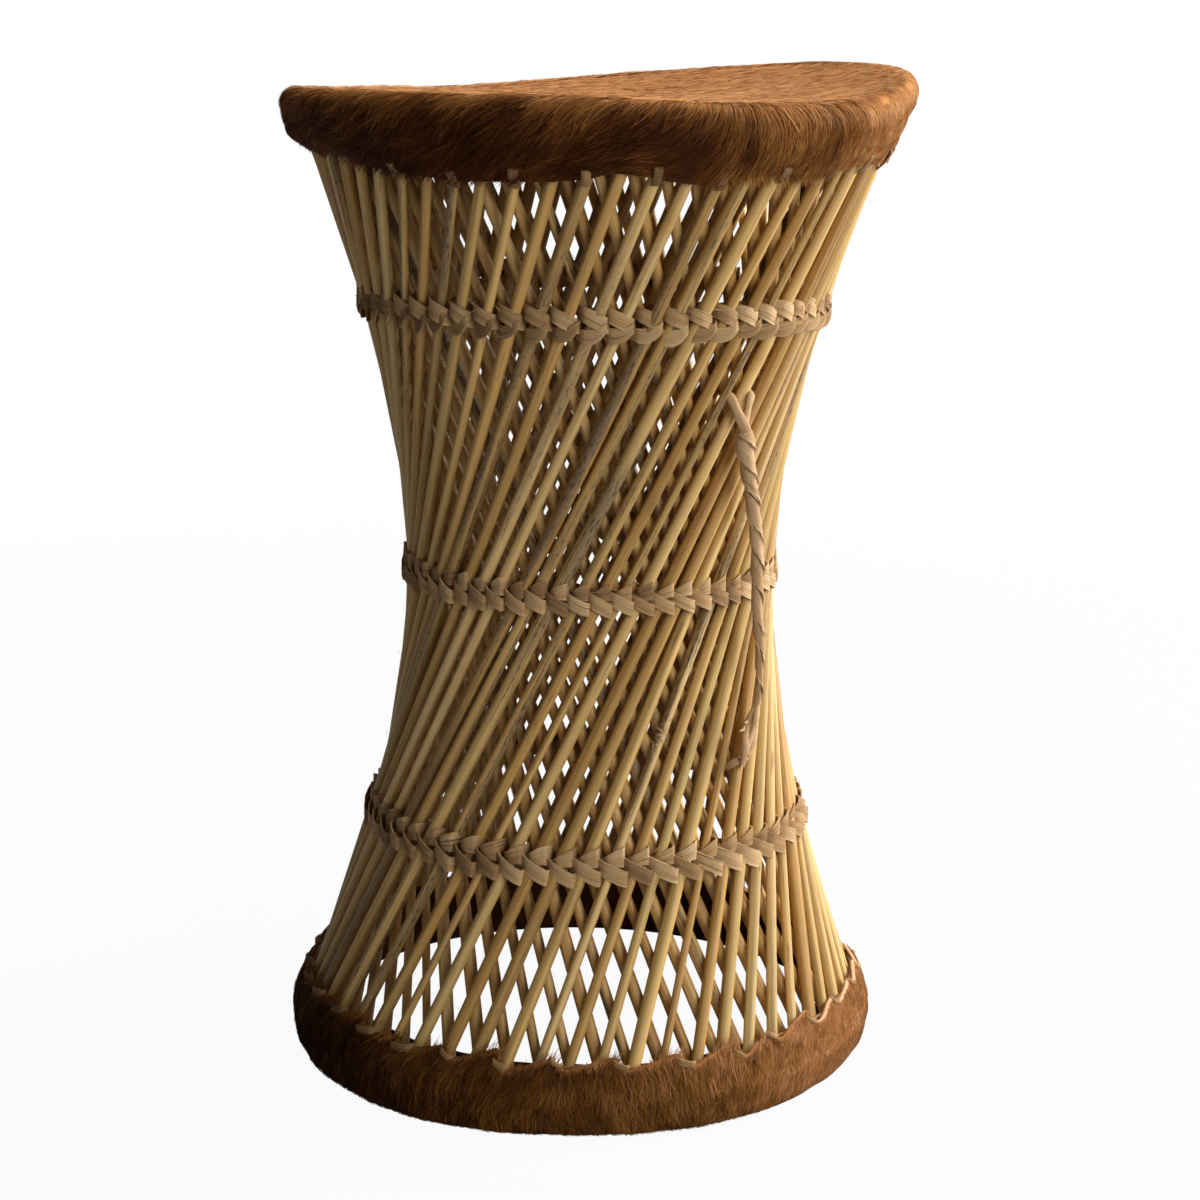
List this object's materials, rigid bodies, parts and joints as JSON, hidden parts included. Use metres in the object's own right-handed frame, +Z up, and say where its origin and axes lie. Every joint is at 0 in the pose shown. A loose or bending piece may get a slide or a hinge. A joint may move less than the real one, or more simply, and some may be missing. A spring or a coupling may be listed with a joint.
{
  "type": "mudda stool",
  "caption": "Waisted reed stool with a crossed cane lattice, twined grass bands, a hair-on hide seat and foot wrap, and a twisted rope side handle.",
  "frame": {"origin": "centre of the foot at floor level", "axes": "+Z up through the centre of the seat; -Y is the front, the side seen in the picture; +X is the viewer's right, and the rope handle hangs between -Y and +X"},
  "size_m": [0.2972, 0.2972, 0.469],
  "materials": {
    "reed_outer": "satin straw-coloured reed, darker streaks",
    "reed_inner": "satin straw-coloured reed, duller than the outer layer",
    "grass_strip": "matte flat grass strips, fibrous",
    "grass_bundle": "matte bundled grass",
    "seat_hide": "hair-on hide, short tan hair on top and long umber hair on the skirt",
    "foot_hide": "hair-on hide, dark brown with golden hairs, bare pinkish tan on the right",
    "rawhide_thong": "matte pale rawhide",
    "handle_rope": "matte two-ply twisted leaf rope"
  },
  "bodies": {
    "root": {"outer_canes_01": "reed_outer", "outer_canes_02": "reed_outer", "outer_canes_03": "reed_outer", "outer_canes_04": "reed_outer", "outer_canes_05": "reed_outer", "outer_canes_06": "reed_outer", "outer_canes_07": "reed_outer", "outer_canes_08": "reed_outer", "outer_canes_09": "reed_outer", "outer_canes_10": "reed_outer", "outer_canes_11": "reed_outer", "outer_canes_12": "reed_outer", "outer_canes_13": "reed_outer", "outer_canes_14": "reed_outer", "inner_canes_01": "reed_inner", "inner_canes_02": "reed_inner", "inner_canes_03": "reed_inner", "inner_canes_04": "reed_inner", "inner_canes_05": "reed_inner", "inner_canes_06": "reed_inner", "inner_canes_07": "reed_inner", "inner_canes_08": "reed_inner", "inner_canes_09": "reed_inner", "inner_canes_10": "reed_inner", "inner_canes_11": "reed_inner", "inner_canes_12": "reed_inner", "inner_canes_13": "reed_inner", "inner_canes_14": "reed_inner", "upper_band_front": "grass_strip", "upper_band_back": "grass_strip", "middle_band_front": "grass_strip", "middle_band_back": "grass_strip", "lower_band_front": "grass_strip", "lower_band_back": "grass_strip", "seat_rim_hoop": "grass_bundle", "seat_deck": "grass_bundle", "seat_hide": "seat_hide", "foot_hoop": "grass_bundle", "foot_strip": "reed_outer", "foot_hide": "foot_hide", "foot_lacing": "rawhide_thong", "handle_rope": "handle_rope", "handle_top_fork": "handle_rope", "handle_bottom_knot": "handle_rope"}
  },
  "joints": []
}
